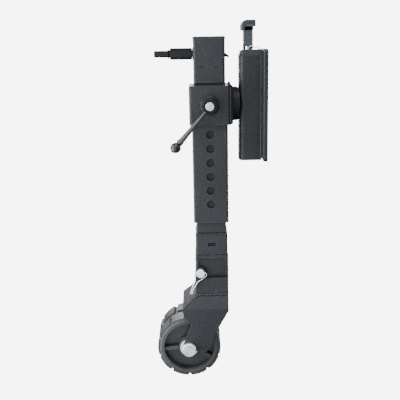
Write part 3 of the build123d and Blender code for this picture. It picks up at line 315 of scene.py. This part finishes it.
def bead(name, corners, radius, body="bracket", slot="powder_coat", pitch=2.6 * MM, closed=False):
    """Weld bead: a rippled, slightly wandering rope along a line of corners."""
    points = []
    corners = [Vector(corner) for corner in corners]
    legs = list(zip(corners, corners[1:] + corners[:1]))
    if not closed:
        legs = legs[:-1]
    for start, end in legs:
        steps = max(2, round((end - start).length / (pitch / BEAD_STEPS)))
        points += [start.lerp(end, step / steps) for step in range(steps)]
    if not closed:
        points.append(corners[-1])

    def make(bm):
        rings = []
        for index, point in enumerate(points):
            before = points[index - 1] if index or closed else points[0]
            last = index + 1 == len(points) and not closed
            after = points[-1] if last else points[(index + 1) % len(points)]
            along = (after - before).normalized()
            side = along.orthogonal().normalized()
            other = along.cross(side)
            phase = index / BEAD_STEPS * 2 * math.pi
            swell = radius * (1 + 0.13 * math.sin(phase) + 0.07 * math.sin(index * 0.71))
            if not closed and index in (0, len(points) - 1):
                swell *= 0.45
            drift = side * radius * 0.10 * math.sin(index * 0.37)
            ring = []
            for k in range(BEAD_SIDES):
                turn = 2 * math.pi * k / BEAD_SIDES
                outward = side * math.cos(turn) + other * math.sin(turn)
                ring.append(bm.verts.new(point + drift + outward * swell))
            rings.append(ring)
        following = rings[1:] + rings[:1] if closed else rings[1:]
        for low, high in zip(rings, following):
            for k in range(BEAD_SIDES):
                beyond = (k + 1) % BEAD_SIDES
                bm.faces.new((low[k], low[beyond], high[beyond], high[k]))
        if not closed:
            bm.faces.new(rings[0])
            bm.faces.new(list(reversed(rings[-1])))

    return new_piece(name, make, body, slot)


def circle(mid, radius, count=48):
    """Corners of a circle about the Y direction."""
    turns = (2 * math.pi * k / count for k in range(count))
    return [mid + Vector((math.cos(turn) * radius, 0, math.sin(turn) * radius)) for turn in turns]


for side, label in ((1, "front"), (-1, "back")):
    seam = PLATE_BACK - 0.9 * MM
    bead(
        f"channel_weld_{label}",
        [
            (seam, side * CHANNEL_FRONT, CHANNEL_LOW + 4 * MM),
            (seam, side * CHANNEL_FRONT, CHANNEL_HIGH - 4 * MM),
        ],
        2.3 * MM,
    )
    bead(
        f"flange_weld_{label}",
        [
            (COLLAR_RIGHT + 0.4 * MM, side * (COLLAR_FRONT + 2.6 * MM), -COLLAR_TOP + 3 * MM),
            (COLLAR_RIGHT + 0.4 * MM, side * (COLLAR_FRONT + 2.6 * MM), COLLAR_TOP - 3 * MM),
        ],
        1.9 * MM,
        "collar",
    )
    knee_y = side * UPPER_FRONT
    bead(
        f"fork_ridge_{label}",
        [
            (SOCKET_LEFT + 0.6 * MM, knee_y, SHOULDER_TOP - 6 * MM),
            (SOCKET_LEFT + 2.0 * MM, knee_y, SHOULDER_TOP - 2.4 * MM),
            (SOCKET_LEFT + 5.5 * MM, knee_y, SHOULDER_TOP - 0.8 * MM),
            (FORK_RIGHT - 3 * MM, knee_y, SHOULDER_TOP - 0.6 * MM),
        ],
        2.7 * MM,
        "leg",
    )
    bead(
        f"sleeve_seam_{label}",
        [
            (SLEEVE_LEFT + 2 * MM, side * SLEEVE_FRONT, SLEEVE_TOP),
            (SLEEVE_RIGHT - 2 * MM, side * SLEEVE_FRONT, SLEEVE_TOP),
        ],
        0.9 * MM,
        "leg",
    )
    for tack_x, end in ((SOCKET_LEFT + 4.5 * MM, "left"), (FORK_RIGHT - 6 * MM, "right")):
        bead(
            f"window_tack_{label}_{end}",
            [
                (tack_x - 2.6 * MM, side * SOCKET_FRONT, WINDOW_TOP + 0.6 * MM),
                (tack_x + 2.6 * MM, side * SOCKET_FRONT, WINDOW_TOP - 0.6 * MM),
            ],
            1.7 * MM,
            "leg",
        )
    bead(
        f"shoulder_weld_{label}",
        [
            (SOCKET_LEFT + 0.6 * MM, knee_y, SHOULDER_TOP - 3 * MM),
            (FORK_LEFT + 1.2 * MM, side * (ARM_FRONT + 0.8 * MM), SHOULDER_LOW),
        ],
        1.5 * MM,
        "leg",
    )
NECK_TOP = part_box("pull_stem")[1].z
NECK_MID = Vector((centre("pull_stem").x, 0, NECK_TOP - 3.2 * MM))
NECK_HALF = (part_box("pull_stem")[1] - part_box("pull_stem")[0]) / 2
BAND_GAP = 0.35 * MM
BAND_HALF = 3.2 * MM


def shadow_band(bm):
    """Painted shadow: a black band of four walls a hair outside the stem, under the grip,
    standing in for the grip's shade.
    """
    across, deep = NECK_HALF.x + BAND_GAP, NECK_HALF.y + BAND_GAP
    rings = []
    for height in (-BAND_HALF, BAND_HALF):
        rings.append([
            bm.verts.new(NECK_MID + Vector((x * across, y * deep, height)))
            for x, y in ((-1, -1), (1, -1), (1, 1), (-1, 1))
        ])
    low, high = rings
    for k in range(4):
        bm.faces.new((low[k], low[(k + 1) % 4], high[(k + 1) % 4], high[k]))
    # The faces have no normals yet, so this shell gets no thickness: its walls lie on each other.
    bmesh.ops.solidify(bm, geom=bm.faces[:], thickness=0.3 * MM)


# Painted shadow: the black band under the grip stands in for the shade the grip casts on the
# stem.
new_piece("grip_shadow_band", shadow_band, "plunger", "black_oxide")

# Wire clip standing on the guide's keeper, in front of the stem: a bright eye and a dark leg.
KEEPER_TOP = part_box("guide_keeper")[1].z
CLIP_FOOT = Vector((NECK_MID.x, NECK_MID.y - NECK_HALF.y - 2.3 * MM, KEEPER_TOP + 4.0 * MM))
bead(
    "wire_clip_eye",
    [
        CLIP_FOOT + Vector(step) * MM
        for step in ((-1, 0, -3.6), (1, 0, 0.6), (4.5, 0, 3.2), (9.5, 0, 1.6))
    ],
    1.2 * MM,
    "bracket",
    "zinc",
)
bead(
    "wire_clip_leg",
    [CLIP_FOOT + Vector(step) * MM for step in ((0, 0, 0), (10, 0, 0.4), (23, 0.4, 0.9))],
    0.8 * MM,
    "bracket",
    "black_oxide",
)
BOSS_ROOT = circle(Vector((TUBE_X, COLLAR_FRONT, 0)), 16.0 * MM)
bead("boss_weld", BOSS_ROOT, 2.0 * MM, "collar", closed=True)

# ---- lights -------------------------------------------------------------------------
LIGHT_STRENGTH = 0.25       # what the white surroundings give the jack
BACKDROP_STRENGTH = 7.0     # how white they look behind it
STRIPS = (                  # upright soft boxes: name, place, width, height, power
    ("side_strip", (-0.70, -0.24, -0.12), 0.25, 1.40, 16.0),
    ("left_strip", (-0.46, -0.40, -0.12), 0.20, 1.30, 3.0),
    ("front_strip", (-0.35, -1.80, 0.55), 0.70, 1.00, 10.0),
    ("low_strip", (-0.30, -1.30, -0.70), 0.50, 0.50, 4.5),
    ("back_strip", (-0.40, 1.80, 0.30), 0.90, 1.30, 40.0),
    ("plate_strip", (1.70, 0.55, 0.10), 0.80, 1.30, 45.0),
)
SUNS = (                    # name, where it shines from, angle, strength
    ("overhead", (0.05, -0.38, 1.0), 22, 2.7),
    ("right_rim", (1.0, -0.25, 0.25), 12, 0.35),
)


def surroundings():
    """White studio air: bright behind the jack, softer as a light."""
    world = bpy.data.worlds.new("studio")
    world.use_nodes = True
    tree = world.node_tree
    path = tree.nodes.new("ShaderNodeLightPath")
    strength = tree.nodes.new("ShaderNodeMapRange")
    strength.inputs["To Min"].default_value = LIGHT_STRENGTH
    strength.inputs["To Max"].default_value = BACKDROP_STRENGTH
    tree.links.new(path.outputs["Is Camera Ray"], strength.inputs["Value"])
    tree.links.new(strength.outputs[0], tree.nodes["Background"].inputs[1])
    tree.nodes["Background"].inputs[0].default_value = (1, 1, 1, 1)
    bpy.context.scene.world = world


def place_lamp(light, place):
    lamp = bpy.data.objects.new(light.name, light)
    lamp.location = place
    aim = Vector((TUBE_X, 0, place[2] if light.type == "AREA" else 0)) - Vector(place)
    lamp.rotation_euler = aim.to_track_quat("-Z", "Y").to_euler()
    lamp.visible_camera = False
    bpy.context.collection.objects.link(lamp)


def place_lights():
    for name, place, width, height, power in STRIPS:
        light = bpy.data.lights.new(name, "AREA")
        light.shape = "RECTANGLE"
        light.size = width
        light.size_y = height
        light.energy = power
        place_lamp(light, place)
    for name, place, angle, strength in SUNS:
        light = bpy.data.lights.new(name, "SUN")
        light.angle = math.radians(angle)
        light.energy = strength
        place_lamp(light, place)


surroundings()
place_lights()

# The camera stands a little left of the jack's axis and looks 14 degrees down.
CAMERA_PLACE = (TUBE_X - 0.022, -1.252, 0.117)
CAMERA_PITCH = 14.0
CAMERA_ROLL = -1.05
CAMERA_LENS = 56.7
CAMERA_SENSOR = 36
camera_data = bpy.data.cameras.new("camera")
camera_data.lens = CAMERA_LENS
camera_data.sensor_width = CAMERA_SENSOR
camera = bpy.data.objects.new("camera", camera_data)
camera.matrix_world = (
    Matrix.Translation(CAMERA_PLACE)
    @ Matrix.Rotation(math.radians(90 - CAMERA_PITCH), 4, "X")
    @ Matrix.Rotation(math.radians(CAMERA_ROLL), 4, "Z")
)
bpy.context.collection.objects.link(camera)
bpy.context.scene.camera = camera
